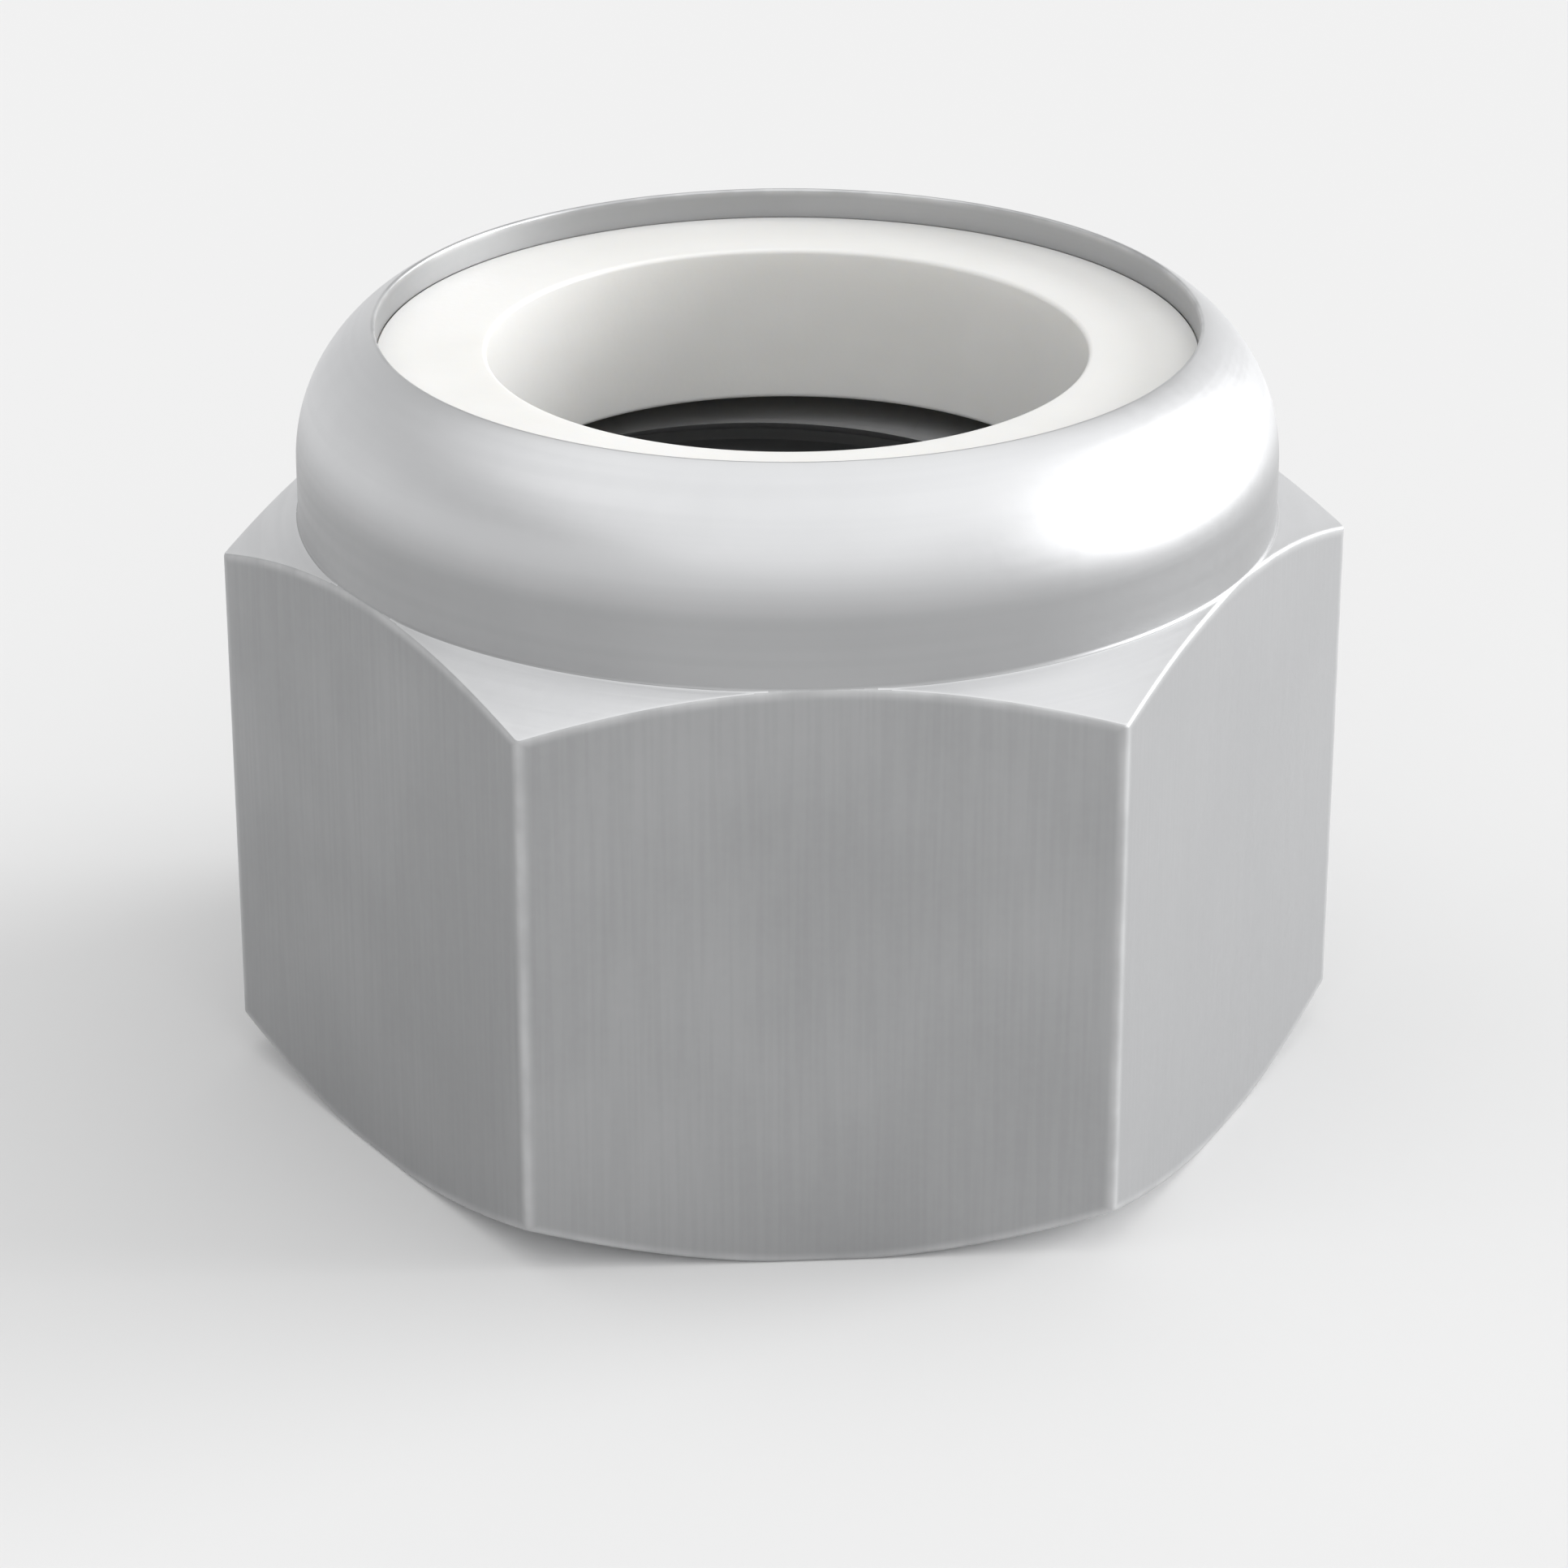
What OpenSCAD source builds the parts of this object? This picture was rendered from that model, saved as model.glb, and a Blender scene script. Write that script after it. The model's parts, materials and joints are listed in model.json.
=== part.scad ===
// Hexagon lock nut with a captive nylon ring.
// The steel body is cold formed with a round collar on top of its hexagon. A plain nylon
// ring drops into the collar, and the collar's wall is rolled in over the ring to hold it.
// Millimetres, +Z up. The origin is the centre of the bearing face, and the bolt comes in
// from below. One flat faces -Y.

/* [Hexagon] */
// Distance across two opposite flats
across_flats = 18; // [17:0.1:24]
// Height of the hexagon, from the bearing face to the foot of the collar
hex_h = 11; // [10:0.1:12]
// Angle of the corner chamfers, measured from the bearing face
chamfer_angle = 30; // [15:1:35]
// How far the chamfers start inside the flats
chamfer_inset = 0.02; // [0.01:0.01:0.5]

/* [Thread] */
// Nominal thread diameter
thread_d = 12; // [8:0.5:12.5]
// Thread pitch
thread_pitch = 1.75; // [1:0.25:2]
// How far each countersink opens past the nominal thread, on the radius
countersink_over = 0.3; // [0.1:0.05:0.6]
// Included angle of the countersinks
countersink_angle = 120; // [90:5:130]

/* [Collar] */
// Height of the whole nut, from the bearing face to the lip
nut_h = 14.6; // [14:0.1:16]
// How far the collar stands inside the flats
collar_inset = 0.02; // [0.01:0.01:0.8]
// Thickness of the collar's upright wall
collar_wall = 1; // [0.7:0.05:1.3]
// Radius of the rolled shoulder, on the outside
shoulder_r = 2.9; // [2.3:0.1:3.5]
// How far the rolled lip reaches in over the ring
lip_reach = 0.5; // [0.3:0.05:0.8]
// How far the lip stands above the ring
lip_rise = 0.6; // [0.3:0.05:1]

/* [Nylon ring] */
// How deep the bolt's thread cuts into the ring
ring_grip = 0.53; // [0.2:0.01:0.9]
// Clearance between the ring and the inside of the collar
ring_clearance = 0.02; // [0.01:0.01:0.1]

/* [Hidden] */
$fn = 144;

// How far a cut runs past the face that it opens
cut_over = 1;

// Hexagon
flat_r = across_flats/2;
corner_r = flat_r/cos(30);
bearing_r = flat_r - chamfer_inset;
blank_r = corner_r + cut_over;
chamfer_h = (blank_r - bearing_r)*tan(chamfer_angle);

// Thread: the bore is cut to the crests of the thread, 5/8 of the sharp V below nominal
thread_v_h = thread_pitch*cos(30);
crest_r = thread_d/2 - thread_v_h*5/8;
countersink_r = thread_d/2 + countersink_over;
countersink_h = (countersink_r - crest_r)/tan(countersink_angle/2);

// Collar: the outer shoulder passes through the lip's top edge, and the inner one through
// the edge where the lip meets the top of the ring. Both are centred on one radius.
collar_r = flat_r - collar_inset;
pocket_r = collar_r - collar_wall;
lip_r = pocket_r - lip_reach;
seat_z = hex_h;
ring_top = nut_h - lip_rise;
shoulder_axis_r = collar_r - shoulder_r;
inner_shoulder_r = pocket_r - shoulder_axis_r;
lip_offset = lip_r - shoulder_axis_r;
shoulder_z = nut_h - sqrt(pow(shoulder_r, 2) - pow(lip_offset, 2));
inner_shoulder_z = ring_top - sqrt(pow(inner_shoulder_r, 2) - pow(lip_offset, 2));

// Nylon ring
ring_bore_r = thread_d/2 - ring_grip;
ring_r = pocket_r - ring_clearance;
ring_shoulder_r = inner_shoulder_r - ring_clearance;

// Half section of a drum from z0 to z1, its side upright up to arc_z and then rolled in
// along an arc.
module drum_section(r, arc_r, arc_z, z0, z1) {
    intersection() {
        translate([0, z0]) square([r, z1 - z0]);
        union() {
            square([r, arc_z]);
            square([r - arc_r, arc_z + arc_r]);
            translate([r - arc_r, arc_z]) circle(r = arc_r);
        }
    }
}

// Half section of the hexagon's blank, with the two corner chamfers turned on it
module blank_section() {
    polygon([
        [0, 0],
        [bearing_r, 0],
        [blank_r, chamfer_h],
        [blank_r, hex_h - chamfer_h],
        [bearing_r, hex_h],
        [0, hex_h],
    ]);
}

// Half section of the threaded hole, countersunk at both ends
module bore_section() {
    polygon([
        [0, -cut_over],
        [countersink_r, -cut_over],
        [countersink_r, 0],
        [crest_r, countersink_h],
        [crest_r, seat_z - countersink_h],
        [countersink_r, seat_z],
        [countersink_r, seat_z + cut_over],
        [0, seat_z + cut_over],
    ]);
}

// Half section of the pocket that the ring sits in, and of the opening inside the lip
module pocket_section() {
    drum_section(pocket_r, inner_shoulder_r, inner_shoulder_z, seat_z, nut_h);
    translate([0, seat_z]) square([lip_r, nut_h - seat_z + cut_over]);
}

// Steel body: the turned section, cut to a hexagon
module nut_body() {
    color("silver")
    intersection() {
        cylinder(r = corner_r, h = nut_h, $fn = 6);
        rotate_extrude() difference() {
            union() {
                blank_section();
                drum_section(collar_r, shoulder_r, shoulder_z, 0, nut_h);
            }
            bore_section();
            pocket_section();
        }
    }
}

// Nylon ring: plain bore and flat faces, its outer edge pressed round by the collar
module nylon_ring() {
    color("ivory")
    rotate_extrude() difference() {
        drum_section(ring_r, ring_shoulder_r, inner_shoulder_z, seat_z, ring_top);
        square([ring_bore_r, nut_h]);
    }
}

nut_body();
nylon_ring();
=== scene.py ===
"""Nylon insert lock nut: a plated steel body, tapped and with a rolled collar, and its ring."""
import json
import math

import bmesh
import bpy
from mathutils import Euler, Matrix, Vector


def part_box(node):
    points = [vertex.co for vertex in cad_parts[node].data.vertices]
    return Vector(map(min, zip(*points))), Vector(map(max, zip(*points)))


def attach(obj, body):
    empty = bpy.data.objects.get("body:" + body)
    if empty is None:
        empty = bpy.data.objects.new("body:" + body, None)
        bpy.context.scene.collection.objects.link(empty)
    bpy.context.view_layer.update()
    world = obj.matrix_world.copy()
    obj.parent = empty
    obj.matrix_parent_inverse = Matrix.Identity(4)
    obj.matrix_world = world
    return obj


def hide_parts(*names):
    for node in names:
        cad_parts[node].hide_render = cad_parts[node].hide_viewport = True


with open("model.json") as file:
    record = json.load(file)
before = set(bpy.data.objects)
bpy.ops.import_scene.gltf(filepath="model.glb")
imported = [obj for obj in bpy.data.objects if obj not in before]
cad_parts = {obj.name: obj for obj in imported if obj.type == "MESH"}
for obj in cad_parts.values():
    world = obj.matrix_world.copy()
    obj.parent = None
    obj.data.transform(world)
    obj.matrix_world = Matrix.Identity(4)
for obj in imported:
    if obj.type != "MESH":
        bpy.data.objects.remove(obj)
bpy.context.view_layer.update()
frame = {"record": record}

bl_info = {
    "name": "Nylon Insert Lock Nut",
    "version": (1, 0, 0),
    "blender": (4, 5, 0),
    "location": "3D View > Sidebar > Lock Nut",
    "description": "Adds a hexagon lock nut with a real thread and a captive nylon ring",
    "category": "Add Mesh",
}

MM = 0.001
SIDES = 6
BODY = "root"
SENSOR_MM = 36

# Faces across a rounded edge, across a smaller one and across the rolled shoulder
EDGE_STEPS = 8
SMALL_STEPS = 6
SHOULDER_STEPS = 24
# Columns of faces that each side spends on its two rounded corners
CORNER_COLUMNS = 8
FLOOR_SIDES = 64
# Vertices closer than this are one, and an edge that turns further than this is sharp
MERGE = 0.0005 * MM
SHARP = math.radians(30)
# How far from its ends a straight stretch has a point, as a share of the edge radius there,
# and at most of the stretch itself
END_SHARE = 1 / 3
# A face of the hexagon that leans less than this from upright has the drawn finish, darker partly for a
# duller plate and partly as painted shade
UPRIGHT = math.radians(45)
# Turns of the tap's coil past each end of the hole
LEAD_TURNS = 1.5

# A mix node's colour sockets, by number because it has others of the same names
MIX_FIRST, MIX_SECOND, MIX_RESULT = 6, 7, 2
# Layers of finer and finer detail in a noise
FEW_LAYERS, SOME_LAYERS, MANY_LAYERS = 1.0, 2.0, 3.0
# Most of a noise's values lie between these two
NOISE_LOW, NOISE_HIGH = 0.3, 0.7
# How strong a rubbed strip is, where it is faintest and where it is fullest
EDGE_FAINT, EDGE_FULL = 0.35, 0.6
LIP_FAINT, LIP_FULL = 0.3, 1.0
# How far marks smooth the plate, and how far its grain does either way, as shares of how far
# patches do. Marks roughen it as much as patches.
MARKS_SMOOTH, GRAIN_CHANGE = 1 / 2, 1 / 3
# How fast a mark changes along its length, as a share of how fast it changes across
DRAWN_ALONG, TURNED_ALONG, ROLLED_ALONG, FLOW_ALONG = 0.03, 0.3, 0.1, 0.5
# How nylon bends light, and how far red, green and blue light go into it, red being 1
NYLON_IOR = 1.53
NYLON_REACH = (1.0, 0.9, 0.75)
# The panel above the nut fades out between these heights of a direction of length 1
PANEL_LOW, PANEL_HIGH = 0.1, 0.3

NUT_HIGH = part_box("nut_body")[1]
RING_LOW, RING_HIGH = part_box("nylon_ring")
MOUNTS = {mount["name"]: mount for mount in frame["record"]["mounts"]}
THREAD_CREST_R = MOUNTS["thread"]["dims"]["r_mm"] * MM
RING_BORE_R = MOUNTS["ring_bore"]["dims"]["r_mm"] * MM
# Finishes of the steel body, in the order of its material slots
FINISHES = ("drawn", "turned", "rolled", "tapped")


def length(label, text, default):
    """A size in metres."""
    return bpy.props.FloatProperty(
        name=label, description=text, default=default, min=0.0, unit="LENGTH", precision=5
    )


def angle(label, text, degrees):
    """An angle, given in degrees here and kept in radians."""
    return bpy.props.FloatProperty(
        name=label, description=text, default=math.radians(degrees), subtype="ANGLE"
    )


def share(label, text, default):
    """A share between 0 and 1."""
    return bpy.props.FloatProperty(
        name=label, description=text, default=default, min=0.0, max=1.0, subtype="FACTOR"
    )


def density(label, text, default):
    """Waves of a pattern to a millimetre."""
    return bpy.props.FloatProperty(name=label, description=text, default=default, min=0.0)


def strength(label, text, default):
    """How strongly a lamp lights a face turned to it, in watts to a square metre."""
    return bpy.props.FloatProperty(name=label, description=text, default=default, min=0.0)


def colour(label, text, default, high=1.0):
    """A colour. Light may be brighter than 1."""
    return bpy.props.FloatVectorProperty(
        name=label, description=text, default=default, size=3, min=0.0, max=high, subtype="COLOR"
    )


class NutSizes(bpy.types.PropertyGroup):
    """Sizes of the steel body. Those of its outline are the solid's own."""

    across_flats: length("Across flats", "Width between two flats", 2 * NUT_HIGH.y)
    height: length("Height", "From the bearing face to the lip", NUT_HIGH.z)
    hex_height: length("Hexagon height", "From the bearing face to the collar", RING_LOW.z)
    ring_top: length("Ring top", "Height of the nylon ring's upper face", RING_HIGH.z)
    inset: length("Inset", "How far chamfers and collar stand inside the flats", 0.02 * MM)
    chamfer_angle: angle("Chamfer angle", "Angle of the corner chamfers", 30)
    collar_wall: length("Collar wall", "Thickness of the upright wall", 1 * MM)
    shoulder_r: length("Shoulder radius", "Outer radius of the rolled shoulder", 2.9 * MM)
    lip_reach: length("Lip reach", "How far the lip reaches in over the ring", 0.5 * MM)
    edge_r: length("Edge radius", "Rounding of the hexagon's edges", 0.1 * MM)
    corner_r: length("Corner radius", "Rounding of the six upright corners", 0.14 * MM)
    foot_r: length("Foot radius", "Fillet where the collar meets the hexagon", 0.1 * MM)
    lip_edge_r: length("Lip edge radius", "Rounding of the lip's edge", 0.05 * MM)
    sink_over: length("Countersink over", "Countersink radius past the thread's", 0.3 * MM)
    sink_angle: angle("Countersink angle", "Included angle of the countersinks", 120)
    columns: bpy.props.IntProperty(
        name="Columns", description="Columns of faces on one side", default=48, min=16
    )


class ThreadSizes(bpy.types.PropertyGroup):
    """Sizes of the tapped thread, a right-hand 60 degree V."""

    nominal_r: length("Nominal radius", "Half of the nominal diameter", 6 * MM)
    crest_r: length("Crest radius", "Radius of the hole's own wall", THREAD_CREST_R)
    pitch: length("Pitch", "Rise of one turn", 1.75 * MM)
    flank_angle: angle("Flank angle", "Slope of a flank from the thread's radius", 30)
    root_flat: share("Root flat", "Width of the groove's bottom, as a share of the pitch", 0.125)
    over: length("Tap over", "How far the tap's section reaches in past the hole's wall", 0.12 * MM)
    steps: bpy.props.IntProperty(
        name="Steps", description="Faces along one turn", default=96, min=24
    )


class RingSizes(bpy.types.PropertyGroup):
    """Sizes of the nylon ring."""

    bore_r: length("Bore radius", "Radius of the plain bore", RING_BORE_R)
    clearance: length("Clearance", "Gap between the ring and the collar", 0.02 * MM)
    edge_r: length("Edge radius", "Rounding of the bore's edges", 0.08 * MM)


class FinishSettings(bpy.types.PropertyGroup):
    """Colours and surface of the zinc plate and the nylon."""

    zinc: colour("Zinc", "Bright zinc plate, turned or rolled", (0.73, 0.735, 0.745))
    zinc_dull: colour("Dull zinc", "Duller patches and marks", (0.685, 0.69, 0.7))
    zinc_rubbed: colour("Rubbed zinc", "Zinc rubbed bright on edges", (0.7, 0.705, 0.71))
    # Darkens the drawn flats, the collar's wall and the lip's cut end: partly a duller drawn plate,
    # partly painted shade
    drawn_and_painted_shade: share("Drawn shade", "Brightness of the drawn flats and the collar's wall", 0.585)
    # Darkens the tapped thread: painted shade in the hole, partly a duller plate
    thread_painted_shade: share("Thread shade", "Brightness of the tapped thread", 0.44)
    drawn_roughness: share("Drawn roughness", "Roughness of the flats", 0.58)
    turned_roughness: share("Turned roughness", "Roughness of chamfers and thread", 0.39)
    rolled_roughness: share("Rolled roughness", "Roughness of the collar", 0.42)
    roughness_vary: share("Roughness vary", "How far the plate's roughness varies", 0.03)
    # Height over which the collar goes from darker to bright: partly a burnished plate, partly painted
    # shade on the wall below
    burnish_and_painted_shade: length("Burnished", "Height in which the rolled shoulder turns bright", 1.2 * MM)
    rubbed_width: length("Rubbed width", "Width of the bright strip on edges", 0.2 * MM)
    mark_depth: length("Mark depth", "Depth of the drawing and turning marks", 0.002 * MM)
    rolled_depth: length("Rolled depth", "Depth of the rolling marks", 0.0014 * MM)
    grain_depth: length("Grain depth", "Depth of the fine grain", 0.0008 * MM)
    patch_depth: length("Patch depth", "Waviness of the faces", 0.008 * MM)
    mark_dulling: share("Mark dulling", "How much the marks dull the plate", 0.35)
    rubbed_smoother: share("Rubbed smoother", "How much less rough rubbed zinc is", 0.08)
    mark_density: density("Mark density", "Drawing and turning marks to a millimetre", 9)
    rolled_density: density("Rolled density", "Rolling marks to a millimetre", 6)
    grain_density: density("Grain density", "Grains to a millimetre", 5)
    patch_density: density("Patch density", "Patches to a millimetre", 0.22)
    worn_density: density("Worn density", "Faint spots in rubbed strips to a millimetre", 1.2)
    # The thread darkens over this height into the hole: painted shade, partly a duller plate
    hole_fade: length("Hole fade", "Height in which the plate dulls in the hole", 1.5 * MM)
    nylon: colour("Nylon", "Undyed nylon", (0.9, 0.895, 0.875))
    nylon_cloud: colour("Nylon cloud", "Cloudier nylon", (0.86, 0.855, 0.83))
    nylon_roughness: share("Nylon roughness", "Roughness of the moulded skin", 0.4)
    nylon_glow: share("Nylon glow", "How much of the light goes into the nylon", 0.25)
    nylon_reach: length("Nylon reach", "How far light goes into the nylon", 0.6 * MM)
    nylon_depth: length("Nylon depth", "Depth of the moulded skin", 0.004 * MM)
    flow_depth: length("Flow depth", "Depth of the moulding's flow marks", 0.008 * MM)
    cloud_density: density("Cloud density", "Clouds in the nylon to a millimetre", 0.3)
    skin_density: density("Skin density", "Grains of its skin to a millimetre", 5)
    flow_density: density("Flow density", "Flow marks to a millimetre", 1.6)


class StageSettings(bpy.types.PropertyGroup):
    """Floor, backdrop, lamp and camera."""

    floor: colour("Floor", "Colour of the floor", (0.79, 0.79, 0.79))
    floor_reach: length("Floor reach", "From the nut to the floor's edge", 3.0)
    cove: colour("Cove", "Pale backdrop above the floor", (0.82, 0.82, 0.82))
    cove_rise: share("Cove rise", "How much higher the backdrop stands behind the nut", 0.25)
    cove_low: angle("Cove low", "Height at which the backdrop starts to fade", 7)
    cove_high: angle("Cove high", "Height at which the backdrop ends", 25)
    room: colour("Room", "Light of the room above the backdrop", (0.4, 0.4, 0.4))
    bright_side: colour("Bright side", "Light of the room on the right", (0.7, 0.7, 0.7))
    bright_near: angle("Bright near", "From due right to where it starts to dim", 26)
    bright_far: angle("Bright far", "From due right to where it has gone", 78)
    key_strength: strength("Key", "Light of the wide lamp low on the right", 3.2)
    key_azimuth: angle("Key azimuth", "Turn of the key lamp round the nut", 98)
    key_elevation: angle("Key elevation", "Height of the key lamp", 10)
    key_spread: angle("Key spread", "Width of the key lamp as the nut sees it", 42)
    panel: colour("Panel", "Light of the long panel above the nut", (1.13, 1.13, 1.13), 4.0)
    panel_side: angle("Panel side", "From straight above to its left and right sides", 53)
    panel_front: angle("Panel front", "From straight above to its front end", 72)
    panel_back: angle("Panel back", "From straight above to its back end", 32)
    panel_fade: share("Panel fade", "How soft its sides and ends are", 0.35)
    camera_distance: length("Camera distance", "From the camera to its aim", 99.63 * MM)
    camera_elevation: angle("Camera elevation", "Angle above the floor", 24.134)
    camera_azimuth: angle("Camera azimuth", "Turn round the nut", -3.82)
    aim_height: length("Aim height", "Height of the point looked at", 5.25 * MM)
    aim_side: bpy.props.FloatProperty(
        name="Aim side", description="Sideways shift of the aim", default=-0.064 * MM,
        unit="LENGTH",
    )
    lens_mm: bpy.props.FloatProperty(
        name="Lens", description="Focal length on a 36 mm sensor", default=121.28, unit="CAMERA"
    )


def polar(centre, radius, degrees):
    """The point at that angle on a circle in the section plane."""
    turn = math.radians(degrees)
    return (centre[0] + radius * math.cos(turn), centre[1] + radius * math.sin(turn))


def arc(centre, radius, start, end, steps):
    """Points from one angle to another on a circle, both ends included."""
    return [polar(centre, radius, start + (end - start) * i / steps) for i in range(steps + 1)]


def run(start, end, edge_r):
    """Two points near the ends of a straight stretch between rounded edges, so that its
    shading stays flat."""
    first, last = Vector(start), Vector(end)
    part = END_SHARE * min(edge_r / max((last - first).length, MERGE), 1)
    return [tuple(first.lerp(last, part)), tuple(first.lerp(last, 1 - part))]


def side_distance(nut, turn):
    """Distance from the axis to the hexagon's side, turn radians away from a flat's middle."""
    flat_r = nut.across_flats / 2
    half = math.pi / SIDES
    core_r = flat_r - nut.corner_r
    tangent = math.atan(math.tan(half) * core_r / flat_r)
    if abs(turn) <= tangent:
        return flat_r / math.cos(turn)
    centre_r = core_r / math.cos(half)
    off = half - abs(turn)
    return centre_r * math.cos(off) + math.sqrt(nut.corner_r**2 - (centre_r * math.sin(off)) ** 2)


def column_turn(nut, column):
    """Angle of a column of faces. Columns crowd together at the six rounded corners."""
    half = math.pi / SIDES
    flat_r = nut.across_flats / 2
    tangent = math.atan(math.tan(half) * (flat_r - nut.corner_r) / flat_r)
    side, step = divmod(column, nut.columns)
    part = 2 * step / nut.columns - 1
    corner_part = CORNER_COLUMNS / nut.columns
    if abs(part) <= 1 - corner_part:
        turn = abs(part) / (1 - corner_part) * tangent
    else:
        turn = half - (1 - abs(part)) / corner_part * (half - tangent)
    middle = (2 * side + 1) * half
    return middle, math.copysign(turn, part)


def hexagon_rows(nut, side_r):
    """Section of the hexagon where its side is side_r from the axis, from the bearing face
    up to the foot of the collar, every edge rounded."""
    slope = nut.chamfer_angle
    chamfer = math.degrees(slope)
    edge, foot = nut.edge_r, nut.foot_r
    round_r = nut.across_flats / 2 - nut.inset
    edge_x = side_r - edge
    cone_z = (edge_x - round_r) * math.tan(slope) + edge / math.cos(slope)

    low = (min(round_r - edge * math.tan(slope / 2), edge_x), edge)
    high = (edge_x, max(cone_z, edge))
    under = arc(low, edge, -90, chamfer - 90, SMALL_STEPS // 2)
    lower = arc(high, edge, chamfer - 90, 0, EDGE_STEPS)

    reach = edge + foot
    off = reach - (side_r - round_r)
    foot_at = (round_r + foot, nut.hex_height + foot * math.tan(math.pi / 4 - slope / 2))
    turned = 90 - chamfer
    # Near a flat's middle the chamfer has no room between its rounded edge and the collar's
    # foot, so the two arcs meet there
    if off > reach * math.cos(math.radians(turned)):
        turned = math.degrees(math.acos(off / reach))
        top = (edge_x, foot_at[1] - reach * math.sin(math.radians(turned)))
    else:
        top = (edge_x, nut.hex_height - cone_z)
    upper = arc(top, edge, 0, turned, EDGE_STEPS)
    collar_foot = arc(foot_at, foot, 180 + turned, 180, SMALL_STEPS)

    return [
        *under,
        *run(under[-1], lower[0], edge),
        *lower,
        *run(lower[-1], upper[0], edge),
        *upper,
        *run(upper[-1], collar_foot[0], edge),
        *collar_foot,
    ]


def lip_offset(nut):
    """How much further out than the shoulder's centre the lip ends."""
    return nut.shoulder_r - nut.collar_wall - nut.lip_reach


def shoulder_centre(nut):
    """Centre of the shoulder's outer arc, which leaves the wall upright and ends at the lip."""
    centre_r = nut.across_flats / 2 - nut.inset - nut.shoulder_r
    return centre_r, nut.height - math.sqrt(nut.shoulder_r**2 - lip_offset(nut) ** 2)


def inner_shoulder(nut):
    """Centre and radius of the shoulder's inner arc, which ends where the lip meets the ring."""
    inner_r = nut.shoulder_r - nut.collar_wall
    centre_z = nut.ring_top - math.sqrt(inner_r**2 - lip_offset(nut) ** 2)
    return (shoulder_centre(nut)[0], centre_z), inner_r


def collar_rows(nut):
    """Section of the collar, from its wall over the rolled shoulder and into its pocket."""
    centre_r, centre_z = shoulder_centre(nut)
    inner, inner_r = inner_shoulder(nut)
    lip_r = centre_r + lip_offset(nut)

    edge_x = lip_r + nut.lip_edge_r
    rise = math.sqrt((nut.shoulder_r - nut.lip_edge_r) ** 2 - (edge_x - centre_r) ** 2)
    meet = math.degrees(math.atan2(rise, edge_x - centre_r))
    lip = arc((edge_x, centre_z + rise), nut.lip_edge_r, meet, 180, EDGE_STEPS)
    tuck = math.degrees(math.acos(lip_offset(nut) / inner_r))
    return [
        *arc((centre_r, centre_z), nut.shoulder_r, 0, meet, SHOULDER_STEPS)[:-1],
        *lip,
        *run(lip[-1], (lip_r, nut.ring_top), nut.edge_r),
        *arc(inner, inner_r, tuck, 0, EDGE_STEPS),
        (inner[0] + inner_r, nut.hex_height),
    ]


def hole_rows(nut, thread):
    """Section of the plain hole, from the pocket's floor down to the bearing face. Its last
    point lies out on that face and keeps its shading flat."""
    sink_r = thread.nominal_r + nut.sink_over
    sink_h = (sink_r - thread.crest_r) / math.tan(nut.sink_angle / 2)
    return [
        (sink_r, nut.hex_height),
        (thread.crest_r, nut.hex_height - sink_h),
        (thread.crest_r, sink_h),
        (sink_r, 0),
        (sink_r + nut.edge_r, 0),
    ]


def body_rows(nut, thread, side_r):
    """The whole closed section of the body, in a plane where its side is side_r away."""
    hexagon = hexagon_rows(nut, side_r)
    on_bearing_face = (hexagon[0][0] - nut.edge_r, 0)
    return [on_bearing_face, *hexagon, *collar_rows(nut), *hole_rows(nut, thread)]


def ring_rows(nut, ring):
    """Section of the nylon ring, its outer edge pressed round by the collar."""
    centre, inner_r = inner_shoulder(nut)
    shoulder_r = inner_r - ring.clearance
    tuck = math.degrees(math.asin((nut.ring_top - centre[1]) / shoulder_r))
    bore_x = ring.bore_r + ring.edge_r
    shoulder = arc(centre, shoulder_r, 0, tuck, EDGE_STEPS)
    upper = arc((bore_x, nut.ring_top - ring.edge_r), ring.edge_r, 90, 180, SMALL_STEPS)
    lower = arc((bore_x, nut.hex_height + ring.edge_r), ring.edge_r, 180, 270, SMALL_STEPS)
    return [
        (centre[0] + shoulder_r, nut.hex_height),
        *shoulder,
        *run(shoulder[-1], upper[0], ring.edge_r),
        *upper,
        *run(upper[-1], lower[0], ring.edge_r),
        *lower,
    ]


def section_loop(bm, rows):
    """A closed wire in the XZ plane. Each vertex remembers its place in the section."""
    row = bm.verts.layers.int.new("row")
    verts = []
    for index, (x, z) in enumerate(rows):
        vert = bm.verts.new((x, 0, z))
        vert[row] = index
        verts.append(vert)
    for start, end in zip(verts, verts[1:] + verts[:1]):
        bm.edges.new((start, end))
    return row


def turn_section(bm, steps):
    """Turns the wire once round the axis."""
    bmesh.ops.spin(
        bm, geom=bm.verts[:] + bm.edges[:], cent=(0, 0, 0), axis=(0, 0, 1), dvec=(0, 0, 0),
        angle=math.tau, steps=steps, use_merge=True,
    )


def press_hexagon(bm, row, nut, thread):
    """Moves each column of the turned blank to the hexagon's section in that direction."""
    count = SIDES * nut.columns
    sections = {}
    for vert in bm.verts:
        column = round(math.atan2(vert.co.y, vert.co.x) / math.tau * count) % count
        if column not in sections:
            middle, turn = column_turn(nut, column)
            sections[column] = (middle + turn, body_rows(nut, thread, side_distance(nut, turn)))
        heading, rows = sections[column]
        x, z = rows[vert[row]]
        vert.co = (x * math.cos(heading), x * math.sin(heading), z)


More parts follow.
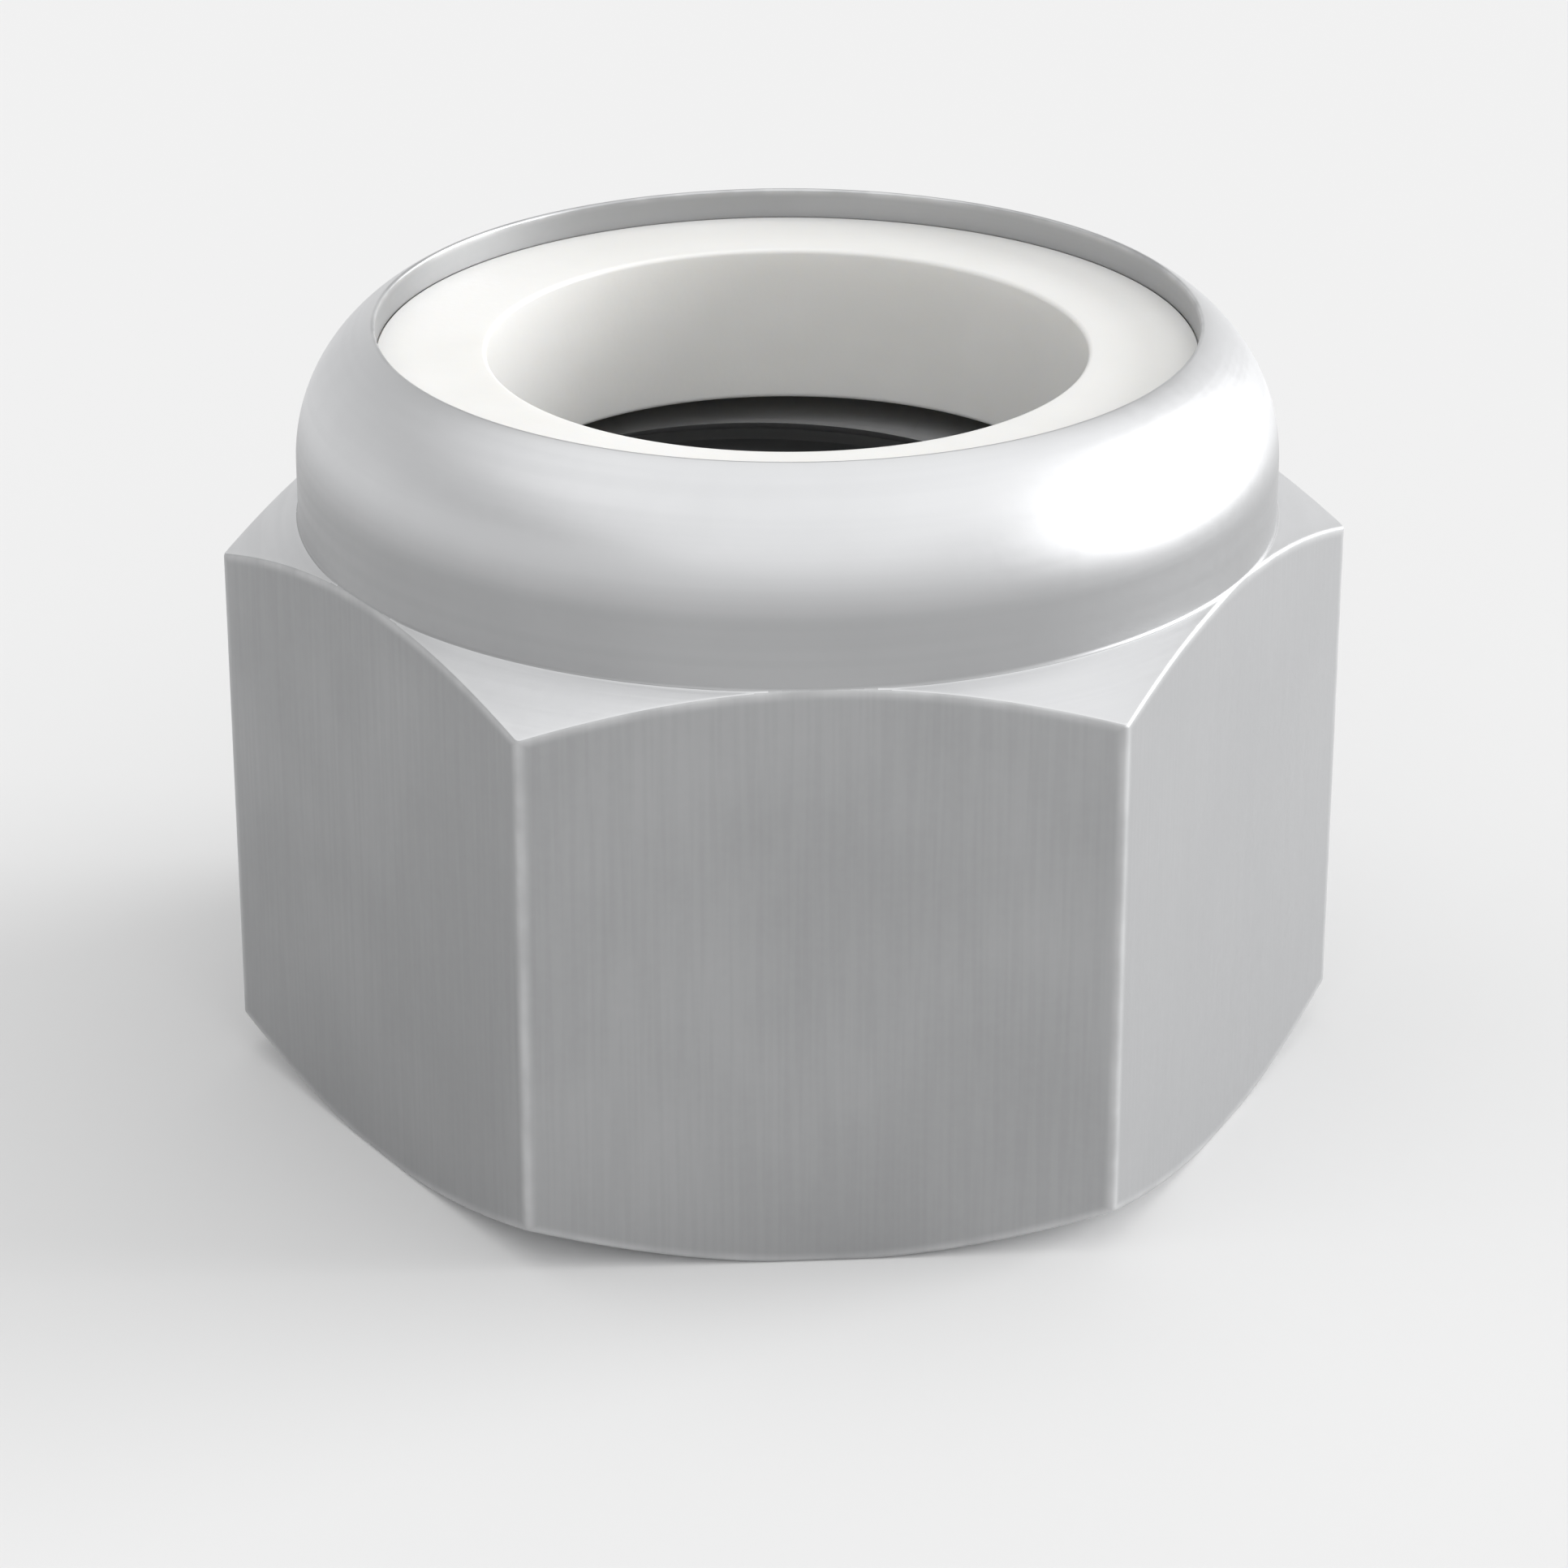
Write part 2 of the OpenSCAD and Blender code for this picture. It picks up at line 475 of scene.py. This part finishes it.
def finish_mesh(bm, name):
    """Closes the mesh, points its faces outwards and marks its sharp edges."""
    bmesh.ops.remove_doubles(bm, verts=bm.verts, dist=MERGE)
    bmesh.ops.recalc_face_normals(bm, faces=bm.faces)
    for face in bm.faces:
        face.smooth = True
    for edge in bm.edges:
        edge.smooth = edge.calc_face_angle(math.pi) < SHARP
    mesh = bpy.data.meshes.new(name)
    bm.to_mesh(mesh)
    bm.free()
    return mesh


def add_object(name, mesh):
    """An object at the origin, with its place in its mesh."""
    obj = bpy.data.objects.new(name, mesh)
    bpy.context.scene.collection.objects.link(obj)
    return obj


def tap_mesh(nut, thread):
    """The coil that a tap cuts away: one thread groove, longer than the hole at both ends."""
    lead = LEAD_TURNS * thread.pitch
    inner_r = thread.crest_r - thread.over
    root_half = thread.root_flat * thread.pitch / 2
    inner_half = root_half + (thread.nominal_r - inner_r) * math.tan(thread.flank_angle)
    profile = [
        (thread.nominal_r, -root_half),
        (thread.nominal_r, root_half),
        (inner_r, inner_half),
        (inner_r, -inner_half),
    ]
    bm = bmesh.new()
    face = bm.faces.new([bm.verts.new((x, 0, z - lead)) for x, z in profile])
    steps = round((nut.hex_height + 2 * lead) / thread.pitch * thread.steps)
    bmesh.ops.spin(
        bm, geom=[face, *face.edges, *face.verts], cent=(0, 0, 0), axis=(0, 0, 1),
        dvec=(0, 0, thread.pitch / thread.steps), angle=math.tau * steps / thread.steps, steps=steps,
        use_merge=False,
    )
    return finish_mesh(bm, "tap")


def cut(obj, tool_mesh):
    """Takes the tool's shape out of the object's mesh."""
    tool = add_object("tap", tool_mesh)
    modifier = obj.modifiers.new("cut", "BOOLEAN")
    modifier.operation = "DIFFERENCE"
    modifier.solver = "EXACT"
    modifier.object = tool
    graph = bpy.context.evaluated_depsgraph_get()
    old, new = obj.data, bpy.data.meshes.new_from_object(obj.evaluated_get(graph))
    if len(new.polygons) <= len(old.polygons):
        raise RuntimeError("the tap cut nothing out of the body")
    obj.modifiers.clear()
    obj.data = new
    bpy.data.objects.remove(tool)
    for mesh in (tool_mesh, old):
        bpy.data.meshes.remove(mesh)


def join(tree, made, inputs):
    """Gives a node its inputs, each a plain value or another node's output."""
    for name, value in inputs.items():
        if isinstance(value, bpy.types.NodeSocket):
            tree.links.new(value, made.inputs[name])
        else:
            made.inputs[name].default_value = value


def node(tree, kind, inputs=None, **settings):
    """A shader node with its settings and its inputs."""
    made = tree.nodes.new("ShaderNode" + kind)
    for name, value in settings.items():
        setattr(made, name, value)
    join(tree, made, inputs or {})
    return made


def maths(tree, operation, first, second=0.0):
    """Works out one number from two."""
    return node(tree, "Math", {0: first, 1: second}, operation=operation).outputs["Value"]


def vector_maths(tree, operation, first, second=(0, 0, 0)):
    """Works out a vector from two, or a number where the operation gives one."""
    made = node(tree, "VectorMath", {0: first, 1: second}, operation=operation)
    return made.outputs["Value" if operation in ("DOT_PRODUCT", "LENGTH") else "Vector"]


def noise(tree, place, per_mm, layers=SOME_LAYERS, w=None):
    """Noise between 0 and 1 with that many waves to a millimetre. W is a fourth direction."""
    inputs = {"Vector": place, "Scale": per_mm, "Detail": layers}
    if w is None:
        return node(tree, "TexNoise", inputs).outputs["Fac"]
    return node(tree, "TexNoise", {**inputs, "W": w}, noise_dimensions="4D").outputs["Fac"]


def spread(tree, value, low, high, at_low, at_high):
    """Takes the range from low to high smoothly to another one, and stays inside it."""
    inputs = {"Value": value, "From Min": low, "From Max": high, "To Min": at_low, "To Max": at_high}
    return node(tree, "MapRange", inputs, interpolation_type="SMOOTHSTEP").outputs["Result"]


def vary(tree, pattern, at_low, at_high):
    """Takes a noise's usual range to another one."""
    return spread(tree, pattern, NOISE_LOW, NOISE_HIGH, at_low, at_high)


def mix(tree, share_of_second, first, second):
    """Mixes two colours, each a plain one or another node's output."""
    inputs = {"Factor": share_of_second}
    for number, value in ((MIX_FIRST, first), (MIX_SECOND, second)):
        inputs[number] = value if isinstance(value, bpy.types.NodeSocket) else (*value, 1)
    return node(tree, "Mix", inputs, data_type="RGBA").outputs[MIX_RESULT]


def bump(tree, height, depth, under=None):
    """Turns heights between 0 and 1 into a relief of that depth, on top of another one."""
    inputs = {"Height": height, "Distance": depth, "Strength": 1.0}
    if under is not None:
        inputs["Normal"] = under
    return node(tree, "Bump", inputs).outputs["Normal"]


def new_material(name):
    """An empty material with its tree, its shader and the place on the piece in millimetres."""
    material = bpy.data.materials.new(name)
    material.use_nodes = True
    tree = material.node_tree
    shader = tree.nodes["Principled BSDF"]
    place = node(tree, "TexCoord").outputs["Object"]
    return material, tree, shader, vector_maths(tree, "MULTIPLY", place, (1 / MM,) * 3)


def height_of(tree, place):
    """Height above the bearing face, in millimetres."""
    return node(tree, "SeparateXYZ", {"Vector": place}).outputs["Z"]


def radius_of(tree, place):
    """Distance from the thread's axis, in millimetres."""
    return vector_maths(tree, "LENGTH", vector_maths(tree, "MULTIPLY", place, (1, 1, 0)))


def round_marks(tree, place, per_mm, along):
    """Noise drawn out into marks that run round the axis. Along is how fast it changes there."""
    outwards = node(tree, "CombineXYZ", {"Z": radius_of(tree, place)}).outputs["Vector"]
    heading = vector_maths(tree, "NORMALIZE", vector_maths(tree, "MULTIPLY", place, (1, 1, 0)))
    around = vector_maths(tree, "MULTIPLY", heading, (along, along, along))
    pattern = vector_maths(tree, "ADD", around, outwards)
    return noise(tree, pattern, per_mm, FEW_LAYERS, height_of(tree, place))


def upright_marks(tree, place, per_mm, along):
    """Noise drawn out into marks that run up and down the flats."""
    return noise(tree, vector_maths(tree, "MULTIPLY", place, (1, 1, along)), per_mm, FEW_LAYERS)


def hexagon_edge(tree, place, nut):
    """Distance from the nearest edge of the hexagon, in millimetres."""
    flat_r = nut.across_flats / 2 / MM
    # How far the place lies along each of the three directions that two flats face
    reach = []
    for side in range(SIDES // 2):
        heading = math.pi / 2 + side * math.tau / SIDES
        normal = (math.cos(heading), math.sin(heading), 0)
        along = vector_maths(tree, "DOT_PRODUCT", place, normal)
        reach.append(maths(tree, "ABSOLUTE", along))
    largest = maths(tree, "MAXIMUM", maths(tree, "MAXIMUM", reach[0], reach[1]), reach[2])
    smallest = maths(tree, "MINIMUM", maths(tree, "MINIMUM", reach[0], reach[1]), reach[2])
    total = maths(tree, "ADD", maths(tree, "ADD", reach[0], reach[1]), reach[2])
    middle = maths(tree, "SUBTRACT", maths(tree, "SUBTRACT", total, largest), smallest)

    height = height_of(tree, place)
    past_round = maths(tree, "SUBTRACT", radius_of(tree, place), flat_r - nut.inset / MM)
    fall = maths(tree, "MULTIPLY", past_round, math.tan(nut.chamfer_angle))
    above = maths(tree, "SUBTRACT", height, fall)
    below = maths(tree, "SUBTRACT", nut.hex_height / MM, maths(tree, "ADD", height, fall))
    to_chamfer = maths(tree, "MINIMUM", above, below)
    to_flat = maths(tree, "SUBTRACT", flat_r, largest)
    to_next_flat = maths(tree, "SUBTRACT", flat_r, middle)
    return maths(tree, "MINIMUM", to_next_flat, maths(tree, "MAXIMUM", to_flat, to_chamfer))


def zinc_material(name, finish, marks, depth, roughness, shade, worn=None):
    """Zinc plate over marks that the forming left, with soft patches and a fine grain. Marks is
    a function that draws them, shade gives the plate's brightness, which on the flats, the
    collar and the thread is partly painted shade, and worn where it is rubbed."""
    material, tree, shader, place = new_material(name)
    patches = noise(tree, place, finish.patch_density, MANY_LAYERS)
    grain = noise(tree, place, finish.grain_density, FEW_LAYERS)
    fine = marks(tree, place)
    colour_now = mix(tree, vary(tree, patches, 0.0, 1.0), finish.zinc, finish.zinc_dull)
    colour_now = mix(tree, vary(tree, fine, 0.0, finish.mark_dulling), colour_now, finish.zinc_dull)
    # Scaling the colour by shade paints shade onto the flats, the collar and the thread
    scaled = {0: colour_now, "Scale": shade(tree, place)}
    colour_now = node(tree, "VectorMath", scaled, operation="SCALE").outputs["Vector"]
    change = finish.roughness_vary
    little = change * GRAIN_CHANGE
    rough = maths(tree, "ADD", roughness, vary(tree, patches, -change, change))
    rough = maths(tree, "ADD", rough, vary(tree, fine, -change * MARKS_SMOOTH, change))
    rough = maths(tree, "ADD", rough, vary(tree, grain, -little, little))
    if worn is not None:
        rubbed = worn(tree, place)
        colour_now = mix(tree, rubbed, colour_now, finish.zinc_rubbed)
        smoother = maths(tree, "MULTIPLY", rubbed, finish.rubbed_smoother)
        rough = maths(tree, "SUBTRACT", rough, smoother)
    relief = bump(tree, patches, finish.patch_depth)
    relief = bump(tree, grain, finish.grain_depth, relief)
    join(tree, shader, {
        "Base Color": colour_now,
        "Metallic": 1.0,
        "Roughness": rough,
        "Normal": bump(tree, fine, depth, relief),
    })
    return material


def rubbed_edges(nut, finish):
    """Draws the rubbed strip along the hexagon's edges, fainter here and there."""
    def draw(tree, place):
        worn = vary(tree, noise(tree, place, finish.worn_density), EDGE_FAINT, EDGE_FULL)
        distance = hexagon_edge(tree, place, nut)
        strip = spread(tree, distance, 0.0, finish.rubbed_width / MM, 1.0, 0.0)
        return maths(tree, "MULTIPLY", strip, worn)
    return draw


def rubbed_lip(nut, finish):
    """Draws the rubbed strip on the crown of the rolled lip, fainter here and there."""
    def draw(tree, place):
        worn = vary(tree, noise(tree, place, finish.worn_density), LIP_FAINT, LIP_FULL)
        low, high = (nut.height - finish.rubbed_width) / MM, nut.height / MM
        strip = spread(tree, height_of(tree, place), low, high, 0.0, 1.0)
        return maths(tree, "MULTIPLY", strip, worn)
    return draw


def zinc_materials(nut, finish):
    """The body's finishes, in the order of FINISHES."""
    def drawn(tree, place):
        """Marks of the drawing die, up and down the flats."""
        return upright_marks(tree, place, finish.mark_density, DRAWN_ALONG)

    def turned(tree, place):
        """Marks of the turning tool and of the tap, round the axis."""
        return round_marks(tree, place, finish.mark_density, TURNED_ALONG)

    def rolled(tree, place):
        """Marks of the rolling tool, coarser ones round the collar."""
        return round_marks(tree, place, finish.rolled_density, ROLLED_ALONG)

    def even(brightness):
        """The same brightness all over."""
        return lambda tree, place: brightness

    def burnish_and_painted_shade(tree, place):
        """Dull on the collar's wall and on the lip's cut end, bright on the rolled shoulder: partly a
        burnished plate, partly painted shade low on the collar and on the lip's end.
        """
        centre_r, wall_top = shoulder_centre(nut)
        lip_r = centre_r + lip_offset(nut)
        low, high = wall_top / MM, (wall_top + finish.burnish_and_painted_shade) / MM
        inner, outer = lip_r / MM, (lip_r + 2 * nut.lip_edge_r) / MM
        # Darker low on the collar and on the lip's inner end: painted shade, on top of a duller plate
        dull = finish.drawn_and_painted_shade
        by_height = spread(tree, height_of(tree, place), low, high, dull, 1.0)
        by_radius = spread(tree, radius_of(tree, place), inner, outer, dull, 1.0)
        return maths(tree, "MULTIPLY", by_height, by_radius)

    def painted_hole_shade(tree, place):
        """Bright in the lower countersink, where the plate takes well, and darker up the hole: painted
        shade in the hole, partly a duller plate there.
        """
        height, fade = height_of(tree, place), finish.hole_fade / MM
        return spread(tree, height, 0.0, fade, 1.0, finish.thread_painted_shade)

    edges, lip = rubbed_edges(nut, finish), rubbed_lip(nut, finish)
    # The flats are darkened all over, partly for a duller drawn plate and partly as painted shade,
    # while the chamfers stay at full brightness
    flats, bright = even(finish.drawn_and_painted_shade), even(1.0)
    depth, rolled_depth = finish.mark_depth, finish.rolled_depth
    rough, rolled_rough = finish.turned_roughness, finish.rolled_roughness
    return [
        zinc_material("zinc_drawn_flats", finish, drawn, depth, finish.drawn_roughness, flats, edges),
        zinc_material("zinc_turned_chamfers", finish, turned, depth, rough, bright, edges),
        zinc_material("zinc_rolled_collar", finish, rolled, rolled_depth, rolled_rough, burnish_and_painted_shade, lip),
        # The thread's colour is darkened up the hole as painted shade
        zinc_material("zinc_tapped_thread", finish, turned, depth, rough, painted_hole_shade),
    ]


def nylon_material(finish):
    """Undyed moulded nylon: milky, with a faint cloud in its colour and a fine moulded skin."""
    material, tree, shader, place = new_material("undyed_nylon")
    cloud = noise(tree, place, finish.cloud_density, MANY_LAYERS)
    skin = noise(tree, place, finish.skin_density, MANY_LAYERS)
    flow = round_marks(tree, place, finish.flow_density, FLOW_ALONG)
    change = finish.roughness_vary
    rough = maths(tree, "ADD", finish.nylon_roughness, vary(tree, skin, -change, change))
    relief = bump(tree, flow, finish.flow_depth)
    join(tree, shader, {
        "Base Color": mix(tree, vary(tree, cloud, 0.0, 1.0), finish.nylon, finish.nylon_cloud),
        "Roughness": maths(tree, "ADD", rough, vary(tree, flow, -change, change)),
        "IOR": NYLON_IOR,
        "Subsurface Weight": finish.nylon_glow,
        "Subsurface Radius": NYLON_REACH,
        "Subsurface Scale": finish.nylon_reach,
        "Normal": bump(tree, skin, finish.nylon_depth, relief),
    })
    return material


def finish_of(face, nut, thread):
    """Which of the body's finishes a face has."""
    middle = face.calc_center_median()
    if middle.z > nut.hex_height:
        return FINISHES.index("rolled")
    if middle.xy.length < thread.nominal_r + nut.sink_over:
        return FINISHES.index("tapped")
    # Upright faces get the darker drawn finish: partly a duller plate, partly painted shade
    upright = abs(face.normal.z) < math.sin(UPRIGHT)
    return FINISHES.index("drawn" if upright else "turned")


class NUT_OT_steel_body(bpy.types.Operator):
    """Adds the steel body with its collar and its tapped thread"""

    bl_idname = "nut.steel_body"
    bl_label = "Steel Body"

    def execute(self, context):
        nut, thread = context.scene.nut_sizes, context.scene.thread_sizes
        bm = bmesh.new()
        row = section_loop(bm, body_rows(nut, thread, nut.across_flats / 2))
        turn_section(bm, SIDES * nut.columns)
        press_hexagon(bm, row, nut, thread)
        bm.verts.layers.int.remove(row)
        body = add_object("steel_body", finish_mesh(bm, "steel_body"))
        cut(body, tap_mesh(nut, thread))
        bm = bmesh.new()
        bm.from_mesh(body.data)
        for face in bm.faces:
            face.material_index = finish_of(face, nut, thread)
        body.data = finish_mesh(bm, "steel_body")
        for material in zinc_materials(nut, context.scene.finish_settings):
            body.data.materials.append(material)
        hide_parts("nut_body")
        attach(body, BODY)
        return {"FINISHED"}


class NUT_OT_nylon_ring(bpy.types.Operator):
    """Adds the nylon ring in its pocket"""

    bl_idname = "nut.nylon_ring"
    bl_label = "Nylon Ring"

    def execute(self, context):
        nut, ring = context.scene.nut_sizes, context.scene.ring_sizes
        bm = bmesh.new()
        section_loop(bm, ring_rows(nut, ring))
        turn_section(bm, SIDES * nut.columns)
        piece = add_object("locking_ring", finish_mesh(bm, "locking_ring"))
        piece.data.materials.append(nylon_material(context.scene.finish_settings))
        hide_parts("nylon_ring")
        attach(piece, BODY)
        return {"FINISHED"}


def direction(azimuth, elevation):
    """Unit vector from the nut towards a lamp or the camera. Azimuth 0 is the front, -Y."""
    level = math.cos(elevation)
    return Vector((math.sin(azimuth) * level, -math.cos(azimuth) * level, math.sin(elevation)))


def add_floor(stage):
    """A flat round floor under the nut."""
    bm = bmesh.new()
    bmesh.ops.create_circle(bm, cap_ends=True, segments=FLOOR_SIDES, radius=stage.floor_reach)
    floor = add_object("floor", finish_mesh(bm, "floor"))
    material, tree, shader, _ = new_material("pale_floor")
    join(tree, shader, {"Base Color": (*stage.floor, 1), "Roughness": 1.0, "Specular IOR Level": 0.0})
    floor.data.materials.append(material)
    return floor


def add_key(stage):
    """A wide lamp low on the right, far away, so that it lights nut and floor evenly."""
    data = bpy.data.lights.new("key", "SUN")
    data.energy = stage.key_strength
    data.angle = stage.key_spread
    lamp = bpy.data.objects.new("key", data)
    bpy.context.scene.collection.objects.link(lamp)
    towards = direction(stage.key_azimuth, stage.key_elevation)
    lamp.rotation_euler = towards.to_track_quat("Z", "Y").to_euler()


def panel_share(tree, heading, stage):
    """1 where a direction meets the panel above the nut and 0 beside it, with a soft edge."""
    x, y, z = node(tree, "SeparateXYZ", {"Vector": heading}).outputs
    across = maths(tree, "ABSOLUTE", maths(tree, "DIVIDE", x, z))
    along = maths(tree, "DIVIDE", y, z)
    front = maths(tree, "SUBTRACT", 0.0, along)
    ends = ((across, stage.panel_side), (front, stage.panel_front), (along, stage.panel_back))
    share_now = spread(tree, z, PANEL_LOW, PANEL_HIGH, 0.0, 1.0)
    for reach, limit in ends:
        edge = math.tan(limit)
        low, high = edge * (1 - stage.panel_fade), edge * (1 + stage.panel_fade)
        share_now = maths(tree, "MULTIPLY", share_now, spread(tree, reach, low, high, 1.0, 0.0))
    return share_now


def studio_world(stage):
    """A pale cove round the floor, a dimmer room above it and a soft bright panel on top."""
    world = bpy.data.worlds.new("studio")
    world.use_nodes = True
    tree = world.node_tree
    heading = node(tree, "TexCoord").outputs["Generated"]
    right, behind, height = node(tree, "SeparateXYZ", {"Vector": heading}).outputs
    rise = maths(tree, "MULTIPLY", maths(tree, "MAXIMUM", behind, 0.0), stage.cove_rise)
    level = maths(tree, "SUBTRACT", height, rise)
    low, high = math.sin(stage.cove_low), math.sin(stage.cove_high)
    share_of_room = spread(tree, level, low, high, 0.0, 1.0)
    far, near = math.cos(stage.bright_far), math.cos(stage.bright_near)
    room = mix(tree, spread(tree, right, far, near, 0.0, 1.0), stage.room, stage.bright_side)
    light = mix(tree, share_of_room, stage.cove, room)
    light = mix(tree, panel_share(tree, heading, stage), light, stage.panel)
    tree.links.new(light, tree.nodes["Background"].inputs["Color"])
    return world


def add_camera(stage):
    """The camera, turned round the nut and looking down on a point near its axis."""
    azimuth, elevation = stage.camera_azimuth, stage.camera_elevation
    side = Vector((math.cos(azimuth), math.sin(azimuth), 0))
    aim = side * stage.aim_side + Vector((0, 0, stage.aim_height))
    data = bpy.data.cameras.new("camera")
    data.lens = stage.lens_mm
    data.sensor_width = SENSOR_MM
    data.clip_start = MM
    camera = bpy.data.objects.new("camera", data)
    bpy.context.scene.collection.objects.link(camera)
    camera.location = aim + direction(azimuth, elevation) * stage.camera_distance
    camera.rotation_euler = Euler((math.pi / 2 - elevation, 0, azimuth))
    return camera


class NUT_OT_stage(bpy.types.Operator):
    """Adds the floor, the backdrop, the lamp and the camera"""

    bl_idname = "nut.stage"
    bl_label = "Stage"

    def execute(self, context):
        scene = context.scene
        stage = scene.stage_settings
        scene.view_settings.view_transform = "Standard"
        floor = add_floor(stage)
        scene.world = studio_world(stage)
        add_key(stage)
        scene.camera = add_camera(stage)
        return {"FINISHED"}


class NUT_PT_panel(bpy.types.Panel):
    """Lists the nut's pieces and sizes"""

    bl_label = "Lock Nut"
    bl_idname = "NUT_PT_panel"
    bl_space_type = "VIEW_3D"
    bl_region_type = "UI"
    bl_category = "Lock Nut"

    def draw(self, context):
        for operator in PIECES:
            self.layout.operator(operator.bl_idname)
        for name, group in GROUPS.items():
            box = self.layout.box()
            for field in group.__annotations__:
                box.prop(getattr(context.scene, name), field)


# Property groups, by their names on the scene
GROUPS = {
    "nut_sizes": NutSizes,
    "thread_sizes": ThreadSizes,
    "ring_sizes": RingSizes,
    "finish_settings": FinishSettings,
    "stage_settings": StageSettings,
}
PIECES = (NUT_OT_steel_body, NUT_OT_nylon_ring, NUT_OT_stage)


def register():
    """Registers the add-on's classes and puts its property groups on the scene."""
    for group in GROUPS.values():
        bpy.utils.register_class(group)
    for name, group in GROUPS.items():
        setattr(bpy.types.Scene, name, bpy.props.PointerProperty(type=group))
    for cls in (*PIECES, NUT_PT_panel):
        bpy.utils.register_class(cls)


def unregister():
    """Takes them off again, in the reverse order."""
    for cls in (NUT_PT_panel, *PIECES):
        bpy.utils.unregister_class(cls)
    for name, group in GROUPS.items():
        delattr(bpy.types.Scene, name)
        bpy.utils.unregister_class(group)


def main():
    """Builds the nut and its stage."""
    register()
    bpy.ops.nut.steel_body()
    bpy.ops.nut.nylon_ring()
    bpy.ops.nut.stage()


if __name__ == "__main__":
    main()
